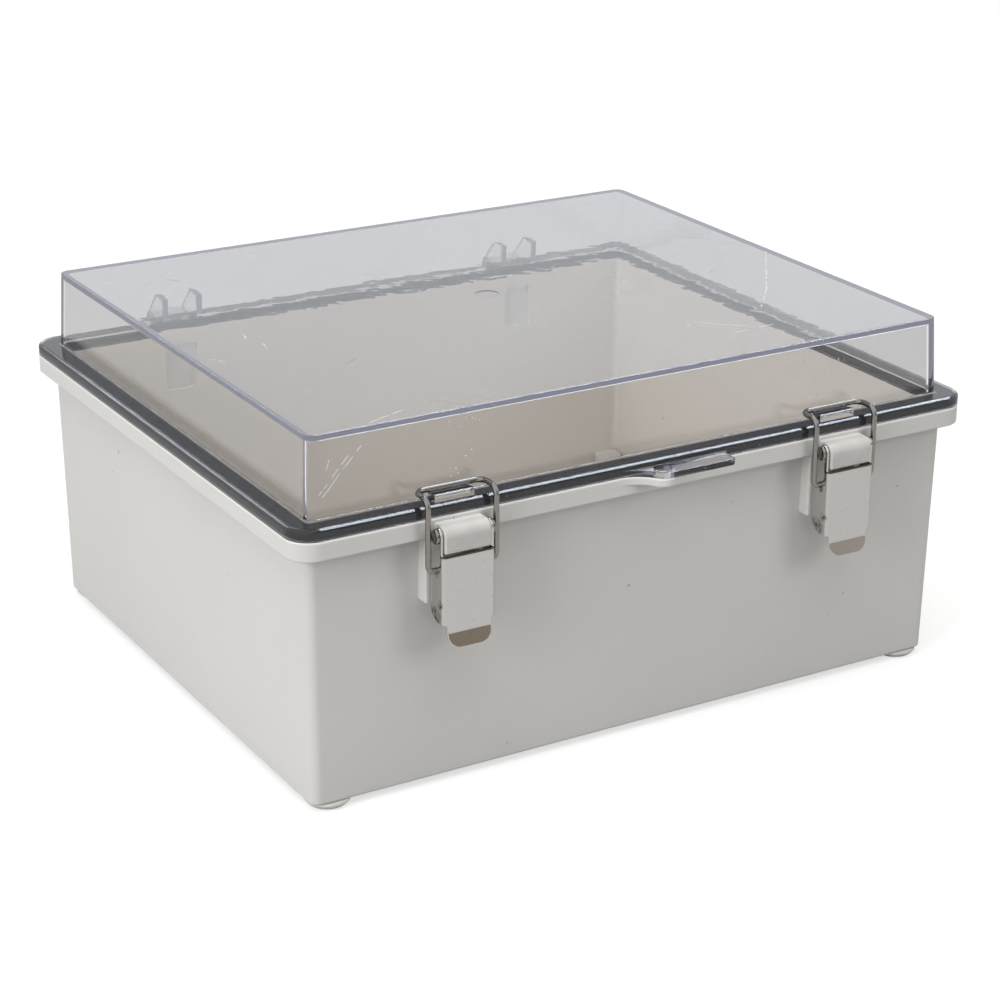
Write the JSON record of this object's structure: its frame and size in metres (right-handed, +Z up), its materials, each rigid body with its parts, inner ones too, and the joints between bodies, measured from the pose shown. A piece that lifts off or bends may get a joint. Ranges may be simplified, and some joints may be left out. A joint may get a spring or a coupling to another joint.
{
  "type": "outdoor plastic enclosure",
  "caption": "Grey moulded outdoor enclosure with a clear domed hinged lid, a sealing gasket, a padlock eye and stainless draw latches.",
  "frame": {"origin": "centre of the rectangle of foot screw holes, on the plane that the feet stand on", "axes": "+Z up through the lid, +X along the long side to the right seen from the latches, -Y towards the latches"},
  "size_m": [0.326, 0.2952, 0.1588],
  "materials": {
    "grey_plastic": "fine moulded satin",
    "foot_plastic": "satin",
    "clear_plastic": "clear polished",
    "gasket_foam": "matt",
    "stainless": "polished",
    "brass": "turned"
  },
  "bodies": {
    "box": {"base_box": "grey_plastic", "foot_front_left": "foot_plastic", "foot_front_right": "foot_plastic", "foot_rear_left": "foot_plastic", "foot_rear_right": "foot_plastic", "foot_insert_front_left": "brass", "foot_insert_front_right": "brass", "foot_insert_rear_left": "brass", "foot_insert_rear_right": "brass", "panel_insert_front_left": "brass", "panel_insert_front_right": "brass", "panel_insert_rear_left": "brass", "panel_insert_rear_right": "brass", "hinge_pin_left": "stainless", "hinge_pin_right": "stainless", "latch_pin_left": "stainless", "latch_pin_right": "stainless"},
    "lid": {"lid": "clear_plastic", "gasket": "gasket_foam"},
    "lever_left": {"latch_lever_left": "stainless"},
    "lever_right": {"latch_lever_right": "stainless"},
    "bail_left": {"latch_bail_left": "stainless"},
    "bail_right": {"latch_bail_right": "stainless"}
  },
  "joints": [
    {"name": "lid_hinge", "type": "hinge", "parent": "box", "child": "lid", "pos_m": [0, 0.1431, 0.1215], "axis": [-1, 0, 0], "range_deg": [0, 110]},
    {"name": "lever_left_turn", "type": "hinge", "parent": "box", "child": "lever_left", "pos_m": [-0.093, -0.1411, 0.1141], "axis": [-1, 0, 0], "range_deg": [0, 110]},
    {"name": "lever_right_turn", "type": "hinge", "parent": "box", "child": "lever_right", "pos_m": [0.093, -0.1411, 0.1141], "axis": [-1, 0, 0], "range_deg": [0, 110]},
    {"name": "bail_left_turn", "type": "hinge", "parent": "lever_left", "child": "bail_left", "pos_m": [-0.093, -0.1405, 0.0997], "axis": [-1, 0, 0], "range_deg": [-176, 0]},
    {"name": "bail_right_turn", "type": "hinge", "parent": "lever_right", "child": "bail_right", "pos_m": [0.093, -0.1405, 0.0997], "axis": [-1, 0, 0], "range_deg": [-176, 0]}
  ],
  "couplings": [
    {"joint": "bail_left_turn", "follows": "lever_left_turn", "ratio": -1.6},
    {"joint": "bail_right_turn", "follows": "lever_right_turn", "ratio": -1.6}
  ]
}
